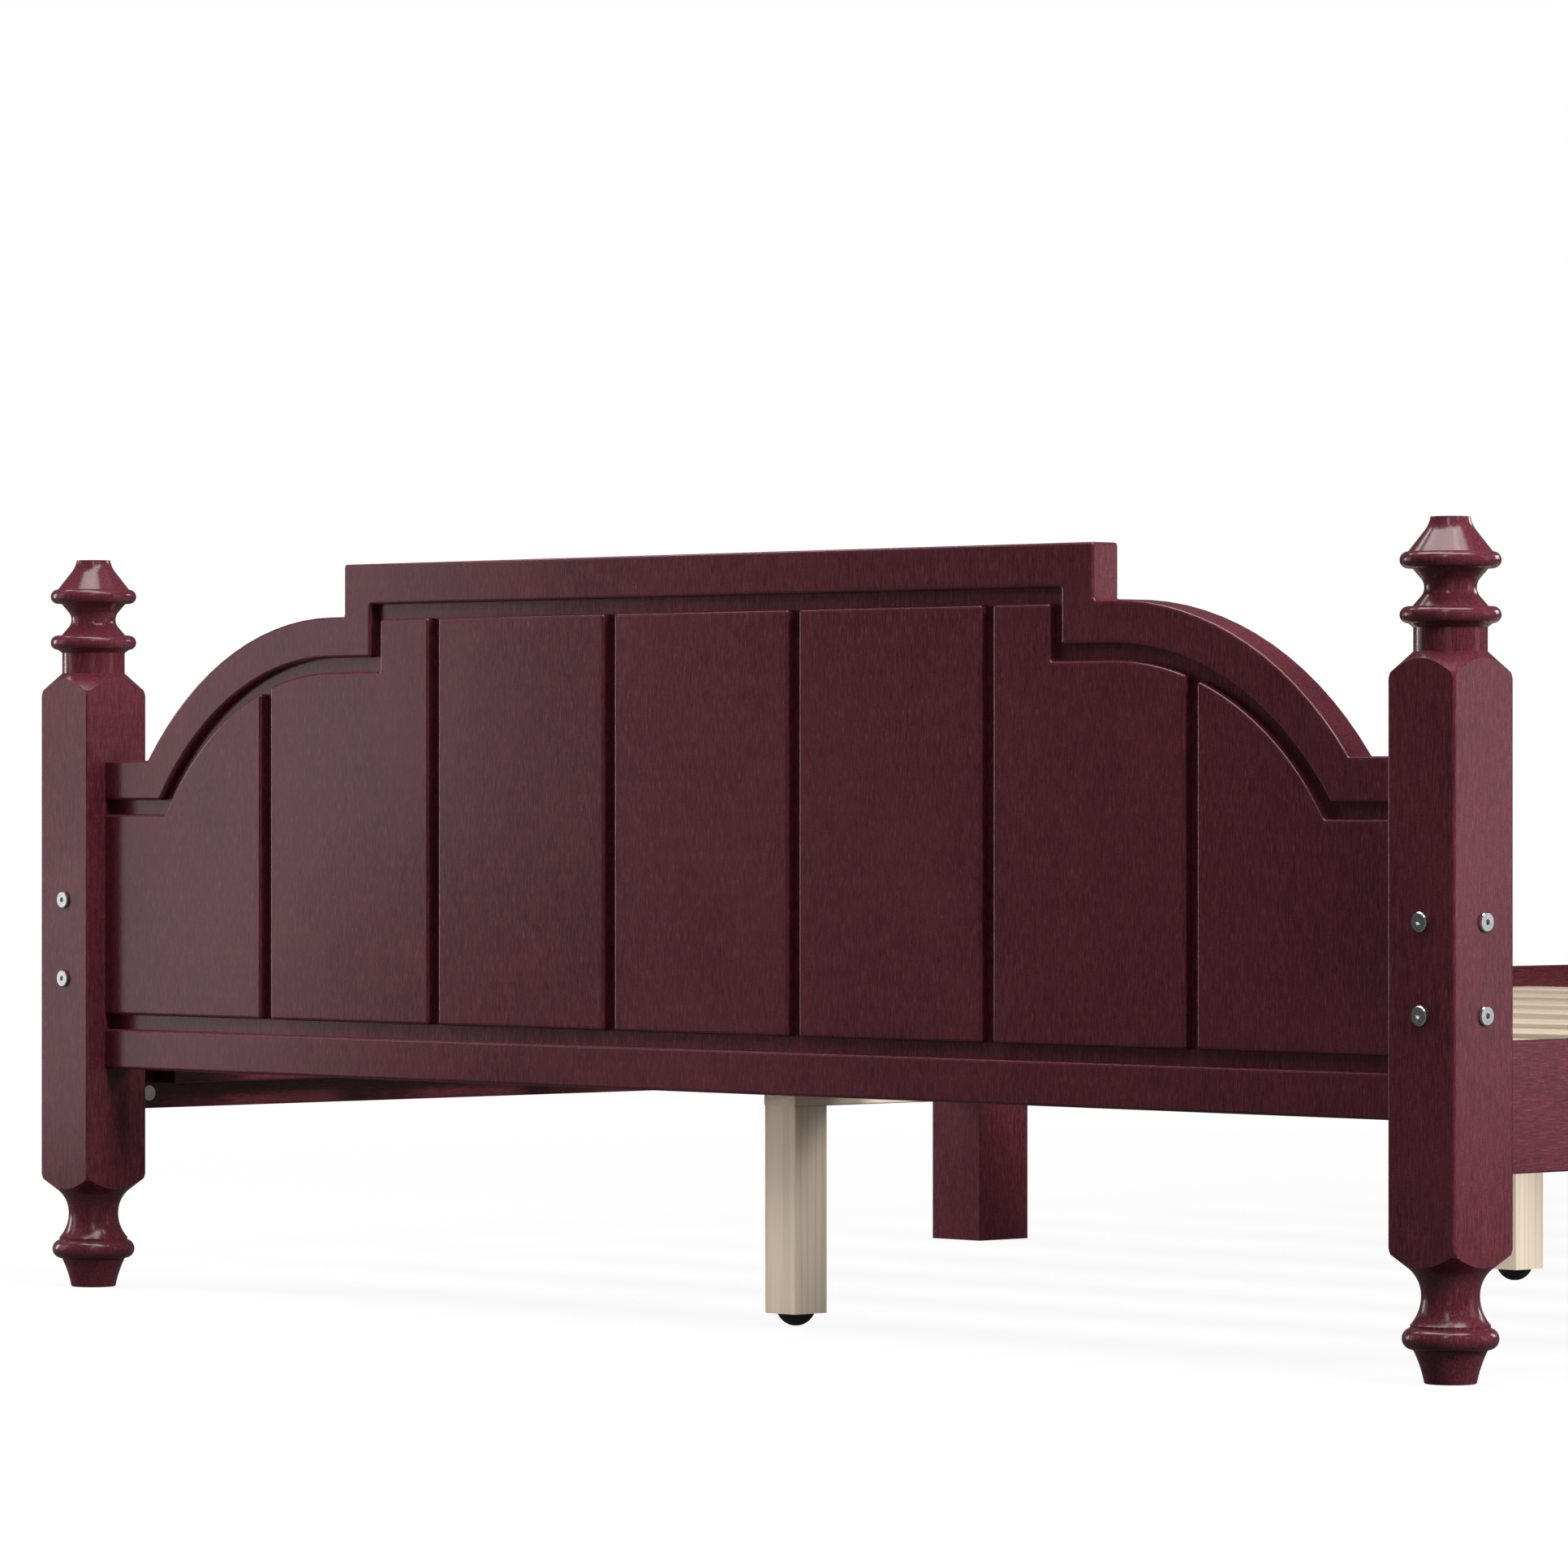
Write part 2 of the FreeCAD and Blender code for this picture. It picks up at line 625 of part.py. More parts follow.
def plank(end, index, field_blank, tongue_blank):
    """One plank: an eased field, end tongues, a side tongue away from the middle and a groove towards it."""
    name = "%s_plank_%d" % (end, index + 1)
    first = index == 0
    last = index == PLANK_COUNT - 1
    left = "(%d * %s - %s)" % (index, PLANK_PITCH, BOARD_HALF)
    right = "(%d * %s - %s)" % (index + 1, PLANK_PITCH, BOARD_HALF)
    field_left = left if first else "(%s + channel_width / 2)" % left
    field_right = right if last else "(%s - channel_width / 2)" % right
    middle = PLANK_COUNT // 2
    reach = "channel_width + plank_tongue"
    tongue_left = "(%s - (%s))" % (field_left, reach) if 0 < index <= middle else field_left
    tongue_right = "(%s + %s)" % (field_right, reach) if middle <= index and not last else field_right
    field_box = block(name + "_field_strip", field_left, field_right, "2 * board_thickness")
    tongue_box = block(name + "_tongue_strip", tongue_left, tongue_right, "2 * board_thickness")
    field = boolean("Common", name + "_field", field_blank, field_box)
    doc.recompute()
    eased = doc.addObject("Part::Fillet", name + "_eased")
    eased.Base = field
    rims = [(number, edge) for number, edge in enumerate(field.Shape.Edges, start=1) if is_board_rim(edge)]
    shortest = min(edge.Length for number, edge in rims)
    radius = min(size("edge_ease"), shortest / 3)
    eased.Edges = [(number, radius, radius) for number, edge in rims]
    tongue = boolean("Common", name + "_tongue", tongue_blank, tongue_box)
    solid = boolean("Fuse", name + "_whole", eased, tongue)
    if index != middle:
        low, high = field_left, "(%s + plank_tongue + fit)" % field_left
        if index < middle:
            low, high = "(%s - plank_tongue - fit)" % field_right, field_right
        slot = block(name + "_slot", low, high, "%s + 2 * fit" % TONGUE_THICKNESS)
        solid = boolean("Cut", name + "_slotted", solid, slot)
    if first or last:
        solid = bored_for_bolts(name, end, -1 if first else 1, solid)
    solid.Label = name
    place(solid, y="%d * %s" % (ENDS[end], BOARD_LINE))
    subparts[name] = solid


def bored_for_bolts(name, end, side, solid):
    """An end plank with its bolt holes and the blind holes for the barrel nuts, open to the mattress."""
    inward = -ENDS[end]
    for level, height in BOLT_LEVELS.items():
        shank = doc.addObject("Part::Cylinder", "%s_%s_shank" % (name, level))
        shank.Placement = Placement(Vector(), Rotation(Vector(0, 0, 1), Vector(-side, 0, 0)))
        place(shank, "%d * %s" % (side, BOARD_HALF), "0", height)
        bind(shank, "Radius", "bolt_radius + fit")
        bind(shank, "Height", "board_bolt_reach + end_play")
        barrel = doc.addObject("Part::Cylinder", "%s_%s_barrel" % (name, level))
        barrel.Placement = Placement(Vector(), Rotation(Vector(0, 0, 1), Vector(0, -inward, 0)))
        place(barrel, "%d * (%s - barrel_setback)" % (side, BOARD_HALF),
              "%d * board_thickness / 2" % inward, height)
        bind(barrel, "Radius", "barrel_radius + fit")
        bind(barrel, "Height", "board_thickness / 2 + barrel_length / 2")
        solid = boolean("Cut", "%s_%s_shank_cut" % (name, level), solid, shank)
        solid = boolean("Cut", "%s_%s_barrel_cut" % (name, level), solid, barrel)
    return solid


def end_board(end):
    """A whole end board: top rail, bottom rail and planks."""
    top_rail(end)
    bottom_rail(end)
    field_inset = "(board_band + channel_width)"
    tongue_inset = "(board_band - rail_tongue + tongue_gap)"
    field_bottom = "(%s + channel_width)" % BOTTOM_RAIL_TOP
    tongue_bottom = "(%s - rail_tongue + tongue_gap)" % BOTTOM_RAIL_TOP
    field_blank = blank("field", field_inset, field_bottom, "board_thickness", end)
    tongue_blank = blank("tongue", tongue_inset, tongue_bottom, TONGUE_THICKNESS, end)
    for index in range(PLANK_COUNT):
        plank(end, index, field_blank, tongue_blank)


# Side rails, middle legs and ledgers
def half_side_rail(end, side):
    """Half a side rail, from a corner post to the middle leg, bored for cams and studs at both ends."""
    body = new_body("%s_half_rail_%s" % (end.replace("board", ""), side))
    outward = SIDES[side]
    bar(body, "XZ_Plane", "side_rail_thickness", "side_rail_height", SIDE_RAIL_LENGTH, "plain_edge")
    inner_x = "-%d * side_rail_thickness / 2" % outward
    for sign in (-1, 1):
        for level in (-1, 1):
            height = "%d * cam_spacing / 2" % level
            bore(body, "cam_radius + fit", "cam_depth",
                 (inner_x, "%d * (%s / 2 - cam_setback)" % (sign, SIDE_RAIL_LENGTH), height), (outward, 0, 0))
            bore(body, "stud_radius + fit", "cam_setback",
                 ("0", "%d * %s / 2" % (sign, SIDE_RAIL_LENGTH), height), (0, -sign, 0))
    place(body, "%d * (%s + %s)" % (outward, HALF_ACROSS, SIDE_RAIL_OFFSET),
          "%d * %s" % (ENDS[end], HALF_MIDDLE), SIDE_RAIL_MIDDLE)


def middle_leg(side):
    """A plain square leg between the two halves of a side rail, bored for their studs."""
    body = new_body("middle_leg_" + side)
    bar(body, "XY_Plane", "post_side", "post_side", SIDE_RAIL_TOP, "plain_edge")
    for sign in (-1, 1):
        for level in (-1, 1):
            height = "%s - %s / 2 + %d * cam_spacing / 2" % (SIDE_RAIL_MIDDLE, SIDE_RAIL_TOP, level)
            bore(body, "stud_radius + fit", "stud_grip + end_play",
                 ("%d * %s" % (SIDES[side], SIDE_RAIL_OFFSET), "%d * %s" % (sign, POST_HALF), height),
                 (0, -sign, 0))
    place(body, "%d * %s" % (SIDES[side], HALF_ACROSS), "0", "%s / 2" % SIDE_RAIL_TOP)


def slat_line(index):
    """Distance of a slat from the middle of the bed, counted outwards."""
    innermost = "(slat_middle_gap / 2 + slat_width / 2)"
    spread = "(%s - outer_slat_inset - %s)" % (HALF_ALONG, innermost)
    return "(%s + %s * %d / %d)" % (innermost, spread, index, SLATS_PER_HALF - 1)


def ledgers():
    """The ledgers that carry the slats, two along each side, bored for the slat screws."""
    pattern = pattern_body("ledger_pattern")
    bar(pattern, "XZ_Plane", "ledger_thickness", "ledger_height", LEDGER_LENGTH, "plain_edge")
    for index in range(SLATS_PER_HALF):
        bore(pattern, "screw_radius + fit", "screw_length - slat_thickness + end_play",
             ("0", "%s - %s" % (slat_line(index), HALF_MIDDLE), "ledger_height / 2"), (0, 0, -1))
    level = size("%s - ledger_height / 2" % SLAT_BOTTOM)
    for side, outward in SIDES.items():
        x = outward * size(LEDGER_LINE)
        y = size(HALF_MIDDLE)
        head = Placement(Vector(x, y, level), Rotation())
        foot = Placement(Vector(x, -y, level), Rotation(Vector(0, 0, 1), 180))
        group("ledgers_" + side, pattern, [foot, head])


# Centre beams, centre legs, levelling feet and slats
def centre_beam(end):
    """Half of the beam under the middle of the slats, bored for its two legs."""
    body = new_body("%s_centre_beam" % end.replace("board", ""))
    bar(body, "XZ_Plane", "beam_side", "beam_side", BEAM_LENGTH, "plain_edge")
    for line in LEG_LINES.values():
        bore(body, "hanger_radius + fit", "hanger_reach + end_play",
             ("0", "%d * (%s - %s / 2)" % (ENDS[end], line, BEAM_LENGTH), "-beam_side / 2"), (0, 0, 1))
    place(body, "0", "%d * %s / 2" % (ENDS[end], BEAM_LENGTH), "%s + beam_side / 2" % BEAM_BOTTOM)


def centre_leg(end, where):
    """A light square leg under the centre beam, bored for its hanger bolt and its threaded insert."""
    body = new_body("%s_centre_leg_%s" % (end.replace("board", ""), where))
    bar(body, "XY_Plane", "centre_leg_side", "centre_leg_side", LEG_LENGTH, "plain_edge")
    low = "-%s / 2" % LEG_LENGTH
    bore(body, "hanger_radius + fit", "hanger_reach + end_play", ("0", "0", "%s / 2" % LEG_LENGTH), (0, 0, -1))
    bore(body, "insert_radius + fit", "insert_depth + insert_length", ("0", "0", low), (0, 0, 1))
    bore(body, "bolt_radius + end_play", "stem_length + end_play", ("0", "0", low), (0, 0, 1))
    place(body, "0", "%d * %s" % (ENDS[end], LEG_LINES[where]), "%s + %s / 2" % (LEG_BOTTOM, LEG_LENGTH))


def levelling_foot(end, where):
    """A black glide with a rounded sole on a threaded stem."""
    body = new_body("%s_levelling_foot_%s" % (end.replace("board", ""), where))
    sketch = new_sketch(body, "Profile", "XZ_Plane")
    outline(sketch, [
        ("0", "0"),
        ("glide_sole_radius", "0", "glide_curve", 1),
        ("glide_radius", "glide_height"),
        ("bolt_radius", "glide_height"),
        ("bolt_radius", "glide_height + stem_length"),
        ("0", "glide_height + stem_length"),
    ])
    revolve(body, sketch, "Revolution")
    place(body, "0", "%d * %s" % (ENDS[end], LEG_LINES[where]))


def slats():
    """The slats of each half, bored and sunk at both ends for their screws."""
    pattern = pattern_body("slat_pattern")
    length = "2 * (%s + side_rail_outset - slat_end_gap)" % HALF_ACROSS
    bar(pattern, "YZ_Plane", "slat_width", "slat_thickness", length, "plain_edge")
    for sign in (-1, 1):
        spot = ("%d * %s" % (sign, LEDGER_LINE), "0", "slat_thickness / 2")
        bore(pattern, "screw_radius + fit", "slat_thickness", spot, (0, 0, -1))
        bore(pattern, "screw_head_radius + fit", "screw_head_height", spot, (0, 0, -1))
    level = size("%s + slat_thickness / 2" % SLAT_BOTTOM)
    for end, sign in ENDS.items():
        places = [Placement(Vector(0, sign * size(slat_line(index)), level), Rotation())
                  for index in range(SLATS_PER_HALF)]
        group("%s_slats" % end.replace("board", ""), pattern, places)


# Fasteners
def bolt_pattern(name, length):
    """A furniture bolt with a flat round head and a hex socket: Z runs from under the head into the wood."""
    body = pattern_body(name)
    sketch = new_sketch(body, "Profile", "XZ_Plane")
    outline(sketch, [
        ("0", "-bolt_head_height"),
        ("bolt_head_radius - bolt_head_bevel", "-bolt_head_height"),
        ("bolt_head_radius", "bolt_head_bevel - bolt_head_height"),
        ("bolt_head_radius", "0"),
        ("bolt_radius", "0"),
        ("bolt_radius", length),
        ("0", length),
    ])
    revolve(body, sketch, "Revolution")
    doc.recompute()
    whole = body.Shape.Volume
    socket = new_sketch(body, "Socket", "XY_Plane")
    bind(socket, "AttachmentOffset.Base.z", "-bolt_head_height")
    radius = "(socket_across_flats / (2 * cos(30)))"
    angles = range(0, 360, 60)
    outline(socket, [("%s * cos(%d)" % (radius, angle), "%s * sin(%d)" % (radius, angle)) for angle in angles])
    cut = body.newObject("PartDesign::Pocket", "Hex")
    cut.Profile = socket
    cut.Reversed = True
    bind(cut, "Length", "socket_depth")
    doc.recompute()
    if body.Shape.Volume >= whole:
        raise RuntimeError("the socket of %s cuts nothing" % name)
    return body


def turned_pattern(name, corners):
    """A fastener turned from one profile of radii and heights."""
    body = pattern_body(name)
    sketch = new_sketch(body, "Profile", "XZ_Plane")
    outline(sketch, corners)
    revolve(body, sketch, "Revolution")
    return body


def rod(name, radius, low, high):
    """A plain round rod along Z between two heights."""
    return turned_pattern(name, [("0", low), (radius, low), (radius, high), ("0", high)])


def at_posts():
    """Signs of each post: along the bed, then across it."""
    return [(end, side) for end in ENDS.values() for side in SIDES.values()]


def board_fasteners():
    """Bolts through the posts into barrel nuts in the end planks, face bolts in inserts, and dowels."""
    board_bolt = bolt_pattern("board_bolt_pattern", "post_side + board_bolt_reach")
    face_bolt = bolt_pattern("face_bolt_pattern", "face_bolt_length")
    barrel = rod("barrel_nut_pattern", "barrel_radius", "-barrel_length / 2", "barrel_length / 2")
    bore(barrel, "bolt_radius + fit", "2 * barrel_radius", ("-barrel_radius", "0", "0"), (1, 0, 0))
    dowel = rod("board_dowel_pattern", "dowel_radius", "-dowel_reach", "dowel_reach")
    board_bolts = []
    face_bolts = []
    barrels = []
    dowels = []
    for end, side in at_posts():
        board_y = "%d * %s" % (end, BOARD_LINE)
        for height in BOLT_LEVELS.values():
            outer_x = "%d * (%s + %s)" % (side, HALF_ACROSS, POST_HALF)
            board_bolts.append(turned((outer_x, board_y, height), (-side, 0, 0)))
            barrel_x = "%d * (%s - barrel_setback)" % (side, BOARD_HALF)
            barrels.append(turned((barrel_x, board_y, height), (0, end, 0)))
            face = ("%d * %s" % (side, HALF_ACROSS), "%d * (%s + %s)" % (end, HALF_ALONG, POST_HALF), height)
            face_bolts.append(turned(face, (0, -end, 0)))
        rise = "head_rise" if end == ENDS["headboard"] else "0"
        for height in ("%s + %s" % (TOP_DOWEL, rise), BOTTOM_DOWEL):
            dowels.append(turned(("%d * %s" % (side, BOARD_HALF), board_y, height), (1, 0, 0)))
    group("board_bolts", board_bolt, board_bolts)
    group("board_barrel_nuts", barrel, barrels)
    group("face_bolts", face_bolt, face_bolts)
    group("board_dowels", dowel, dowels)


def threaded_inserts():
    """Threaded inserts behind the face bolts and in the centre legs."""
    pattern = rod("threaded_insert_pattern", "insert_radius", "0", "insert_length")
    bore(pattern, "bolt_radius + stem_fit", "insert_length", ("0", "0", "0"), (0, 0, 1))
    spots = []
    for end, side in at_posts():
        for height in BOLT_LEVELS.values():
            y = "%d * (%s + %s - insert_depth)" % (end, HALF_ALONG, POST_HALF)
            spots.append(turned(("%d * %s" % (side, HALF_ACROSS), y, height), (0, -end, 0)))
    for end in ENDS.values():
        for line in LEG_LINES.values():
            spots.append(turned(("0", "%d * %s" % (end, line), "%s + insert_depth" % LEG_BOTTOM)))
    group("threaded_inserts", pattern, spots)


def rail_fasteners():
    """Cams in the inner faces of the side rails, and the studs that they pull on."""
    cam = rod("rail_cam_pattern", "cam_radius", "0", "cam_depth")
    half_rail = "(side_rail_thickness / 2)"
    bore(cam, "stud_radius + fit", "cam_radius", ("0", "0", half_rail), (0, 1, 0))
    stud = rod("rail_stud_pattern", "stud_radius", "-stud_grip", "cam_setback - end_play")
    cams = []
    studs = []
    for end, side in at_posts():
        for level in (-1, 1):
            height = "%s + %d * cam_spacing / 2" % (SIDE_RAIL_MIDDLE, level)
            for way, joint in ((-end, "(%s - %s)" % (HALF_ALONG, POST_HALF)), (end, POST_HALF)):
                line = "%d * (%s + %s)" % (side, HALF_ACROSS, SIDE_RAIL_OFFSET)
                studs.append(turned((line, "%d * %s" % (end, joint), height), (0, way, 0)))
                face = Vector(side * size("%s + side_rail_outset" % HALF_ACROSS),
                              end * size(joint) + way * size("cam_setback"), size(height))
                upright = Rotation(Vector(0, 0, way * side), Vector(0, -way, 0), Vector(side, 0, 0), "ZYX")
                cams.append(Placement(face, upright))
    group("rail_cams", cam, cams)
    group("rail_studs", stud, studs)


def hanger_bolts():
    """Double-ended bolts that hold the finials, the turned feet and the centre legs."""
    pattern = rod("hanger_bolt_pattern", "hanger_radius", "-hanger_reach", "hanger_reach")
    spots = []
    for end, side in at_posts():
        x = "%d * %s" % (side, HALF_ACROSS)
        y = "%d * %s" % (end, HALF_ALONG)
        rise = "head_rise" if end == ENDS["headboard"] else "0"
        for height in ("foot_height", "%s + post_shoulder_height + %s" % (POST_SQUARE_END, rise)):
            spots.append(turned((x, y, height)))
    for end in ENDS.values():
        for line in LEG_LINES.values():
            spots.append(turned(("0", "%d * %s" % (end, line), BEAM_BOTTOM)))
    group("hanger_bolts", pattern, spots)


def slat_screws():
    """Sunk screws through the ends of the slats into the ledgers."""
    pattern = turned_pattern("slat_screw_pattern", [
        ("0", "0"),
        ("screw_head_radius", "0"),
        ("screw_radius", "screw_head_height"),
        ("screw_radius", "screw_length"),
        ("0", "screw_length"),
    ])
    spots = []
    for end, side in at_posts():
        for index in range(SLATS_PER_HALF):
            spot = ("%d * %s" % (side, LEDGER_LINE), "%d * %s" % (end, slat_line(index)), SLAT_TOP)
            spots.append(turned(spot, (0, 0, -1)))
    group("slat_screws", pattern, spots)


for end_name in ENDS:
    for side_name in SIDES:
        post_top = corner_post(end_name, side_name)
        finial(end_name, side_name, post_top)
        turned_foot(end_name, side_name)
        half_side_rail(end_name, side_name)
    end_board(end_name)
    centre_beam(end_name)
    for leg_name in LEG_LINES:
        centre_leg(end_name, leg_name)
        levelling_foot(end_name, leg_name)
for side_name in SIDES:
    middle_leg(side_name)
ledgers()
slats()
board_fasteners()
threaded_inserts()
rail_fasteners()
hanger_bolts()
slat_screws()
doc.recompute()

# Nothing is written unless every object is sound
for thing in doc.Objects:
    if "Invalid" in thing.State or "Error" in thing.State:
        raise RuntimeError("%s failed: %s" % (thing.Label, thing.State))
for label, thing in subparts.items():
    if thing.Shape.isNull() or not thing.Shape.isValid():
        raise RuntimeError("%s has no sound shape" % label)

os.makedirs("parts", exist_ok=True)
for label, thing in subparts.items():
    thing.Shape.exportStep(os.path.join("parts", label + ".step"))
print("%d sub-parts written" % len(subparts))
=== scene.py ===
"""Looks, light and camera for the platform bed: stained wood, light pine, zinc steel and black plastic."""
import json
import math

import bpy
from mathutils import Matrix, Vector

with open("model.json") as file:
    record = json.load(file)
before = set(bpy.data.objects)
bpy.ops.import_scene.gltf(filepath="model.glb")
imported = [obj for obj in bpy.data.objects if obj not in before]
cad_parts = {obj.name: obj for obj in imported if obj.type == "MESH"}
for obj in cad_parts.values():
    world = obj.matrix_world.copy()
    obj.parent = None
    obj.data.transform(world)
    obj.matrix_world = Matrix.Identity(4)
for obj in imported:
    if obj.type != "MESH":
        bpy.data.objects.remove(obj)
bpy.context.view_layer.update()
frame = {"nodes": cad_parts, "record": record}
nodes = frame["nodes"]

# Camera of the photograph, in metres and radians, with lens and sensor in millimetres
CAMERA_PLACE = Vector((4.5986, -5.3228, 0.4223))
CAMERA_AZIMUTH = math.radians(46.621)
CAMERA_PITCH = math.radians(0.015)
CAMERA_LENS = 185.7
CAMERA_REACH = 200.0
SENSOR_WIDTH = 36.0

# Colours, linear; pine has a pale, a body and a late wood tone
STAIN_DEEP = (0.046, 0.0078, 0.0125, 1)
STAIN_BODY = (0.150, 0.0275, 0.0440, 1)
STAIN_FLECK = (0.33, 0.056, 0.090, 1)
# Pine tones for the legs and other pine parts: the same pine made paler, painted light that makes up for the
# shade under the bed
PINE_TONES_WITH_PAINTED_LIGHT = ((0.92, 0.78, 0.63, 1), (0.85, 0.69, 0.535, 1), (0.64, 0.50, 0.36, 1))
# Slat tones: the same pine made darker, painted shade that offsets the stronger light from above on the slats
SLAT_TONES_WITH_PAINTED_SHADE = ((0.64, 0.525, 0.405, 1), (0.565, 0.452, 0.344, 1), (0.405, 0.315, 0.222, 1))
ZINC = (0.78, 0.79, 0.80, 1)
ZINC_DULL = (0.60, 0.61, 0.62, 1)
PLASTIC_BLACK = (0.012, 0.012, 0.013, 1)
PLASTIC_WORN = (0.03, 0.03, 0.032, 1)
WHITE = (1, 1, 1, 1)

# Wood textures: marks per metre across the grain, then along it
FINE_GRAIN = (850, 70)
THREAD_GRAIN = (1400, 110)
BAND_GRAIN = (60, 4)
CROSS_GRAIN = (240, 1100)
PINE_RINGS = (55, 2.2)
PINE_SWAY = (14, 2.5)
PINE_FIBRE = (1300, 22)

# Other textures: marks per metre every way
STAIN_CLOUD = 9.0
ZINC_CLOUD = 260.0
ZINC_GRIT = 2400.0
PLASTIC_GRAIN = 1800.0
PLASTIC_WEAR = 120.0

# Which way the grain runs, by words in a node's name; other wood stands upright, and slats alone lie along X
GRAIN_ALONG_Y = ("half_rail", "ledgers", "centre_beam")
GRAIN_ALONG_X = ("slats",)
SLAT_AXIS = "X"

# Floor: its side and the distances over which it turns white, in metres; its share of plain white near
# the bed, its own colour, which takes the shadow, and its colour for the light that it returns to the bed
FLOOR_SIDE = 120.0
FLOOR_FADE = (1.3, 3.2)
FLOOR_WHITE_NEAR = 0.92
FLOOR_PALE = (0.75, 0.75, 0.75, 1)
FLOOR_BOUNCE = (0.05, 0.05, 0.05, 1)

# World: its even light, the strength that the camera sees, and the share of that in reflections
WORLD_LIGHT = 0.03
WORLD_WHITE = 1.0
SHEEN_OF_BACKGROUND = 0.05

# Beam of a lamp that shines every way in front of it, in degrees
FULL_BEAM = 180

# Colour sockets of the mix node, by their places in its lists of inputs and outputs
MIX_FIRST = 6
MIX_SECOND = 7
MIX_RESULT = 2


def feed(tree, socket, value):
    """Joins an output to a socket, or sets the socket's own value."""
    if isinstance(value, bpy.types.NodeSocket):
        tree.links.new(value, socket)
    else:
        socket.default_value = value


def add_node(tree, kind, inputs=None, **settings):
    """Adds a shader node to a tree, sets its properties, and joins or sets its inputs."""
    made = tree.nodes.new("ShaderNode" + kind)
    for name, value in settings.items():
        setattr(made, name, value)
    for name, value in (inputs or {}).items():
        feed(tree, made.inputs[name], value)
    return made


class Shader:
    """A material's node tree, with short ways to add textures and to mix them."""

    def __init__(self, name):
        self.material = bpy.data.materials.new(name)
        self.material.use_nodes = True
        self.tree = self.material.node_tree
        self.surface = self.tree.nodes["Principled BSDF"]

    def add(self, kind, inputs=None, **settings):
        """Adds a node to this material."""
        return add_node(self.tree, kind, inputs, **settings)

    def finish(self, **inputs):
        """Feeds the surface's own sockets; underscores in the names stand for spaces."""
        for name, value in inputs.items():
            feed(self.tree, self.surface.inputs[name.replace("_", " ")], value)
        return self.material

    def place(self):
        """Object coordinates, in metres."""
        return self.add("TexCoord").outputs["Object"]

    def stretched(self, marks, axis):
        """Object coordinates scaled for streaks, by the marks per metre across an axis and along it."""
        across, along = marks
        scale = [across, across, across]
        scale["XYZ".index(axis)] = along
        return self.add("Mapping", {"Vector": self.place(), "Scale": scale}).outputs["Vector"]

    def noise(self, where, scale=1.0, detail=3.0, roughness=0.55):
        """Noise between 0 and 1."""
        inputs = {"Vector": where, "Scale": scale, "Detail": detail, "Roughness": roughness}
        return self.add("TexNoise", inputs).outputs["Fac"]

    def ramp(self, value, low, high, floor=0.0, ceiling=1.0):
        """A value's stretch between low and high, drawn out to floor and ceiling."""
        inputs = {"Value": value, "From Min": low, "From Max": high, "To Min": floor, "To Max": ceiling}
        return self.add("MapRange", inputs).outputs["Result"]

    def mix(self, factor, first, second):
        """Two colours mixed by a factor."""
        inputs = {"Factor": factor, MIX_FIRST: first, MIX_SECOND: second}
        return self.add("Mix", inputs, data_type="RGBA").outputs[MIX_RESULT]

    def bump(self, height, strength, distance):
        """A bumped normal."""
        inputs = {"Height": height, "Strength": strength, "Distance": distance}
        return self.add("Bump", inputs).outputs["Normal"]


def stained_wood(axis):
    """Dark cherry stain over fine straight grain, under a satin lacquer."""
    shader = Shader("stained_wood_" + axis)
    fine = shader.noise(shader.stretched(FINE_GRAIN, axis), detail=5.0, roughness=0.65)
    thread = shader.noise(shader.stretched(THREAD_GRAIN, axis), detail=2.0)
    band = shader.noise(shader.stretched(BAND_GRAIN, axis), detail=3.0)
    cross = shader.noise(shader.stretched(CROSS_GRAIN, axis), detail=3.0)
    cloud = shader.noise(shader.place(), scale=STAIN_CLOUD, detail=5.0, roughness=0.60)
    tone = shader.mix(shader.ramp(fine, low=0.34, high=0.66), STAIN_DEEP, STAIN_BODY)
    tone = shader.mix(shader.ramp(band, low=0.35, high=0.70, ceiling=0.20), tone, STAIN_DEEP)
    tone = shader.mix(shader.ramp(cloud, low=0.36, high=0.66, ceiling=0.40), tone, STAIN_BODY)
    tone = shader.mix(shader.ramp(cross, low=0.44, high=0.70, ceiling=0.45), tone, STAIN_DEEP)
    tone = shader.mix(shader.ramp(thread, low=0.58, high=0.74, ceiling=0.60), tone, STAIN_FLECK)
    rough = shader.ramp(fine, low=0.25, high=0.75, floor=0.17, ceiling=0.25)
    normal = shader.bump(fine, strength=0.05, distance=0.0002)
    return shader.finish(Base_Color=tone, Roughness=rough, Normal=normal, Specular_IOR_Level=0.5)


def light_pine(axis):
    """Pale bare pine with soft growth lines and fine fibres; the slats get a darker copy of it, painted shade
    against the stronger light from above, and the legs and other pine parts a paler copy, painted light
    against the shade under the bed.
    """
    shader = Shader("light_pine_" + axis)
    pale, body, late = SLAT_TONES_WITH_PAINTED_SHADE if axis == SLAT_AXIS else PINE_TONES_WITH_PAINTED_LIGHT
    rings = {"Vector": shader.stretched(PINE_RINGS, axis), "Scale": 0.8, "Distortion": 6.0, "Detail": 3.0,
             "Detail Scale": 1.6}
    wave = shader.add("TexWave", rings, wave_type="RINGS").outputs["Fac"]
    sway = shader.noise(shader.stretched(PINE_SWAY, axis), detail=2.0)
    fibre = shader.noise(shader.stretched(PINE_FIBRE, axis), detail=3.0)
    tone = shader.mix(shader.ramp(sway, low=0.3, high=0.7), body, pale)
    tone = shader.mix(shader.ramp(wave, low=0.62, high=0.98, ceiling=0.35), tone, late)
    tone = shader.mix(shader.ramp(fibre, low=0.55, high=0.80, ceiling=0.40), tone, late)
    rough = shader.ramp(fibre, low=0.3, high=0.7, floor=0.52, ceiling=0.64)
    normal = shader.bump(fibre, strength=0.15, distance=0.0004)
    return shader.finish(Base_Color=tone, Roughness=rough, Normal=normal, Specular_IOR_Level=0.3)


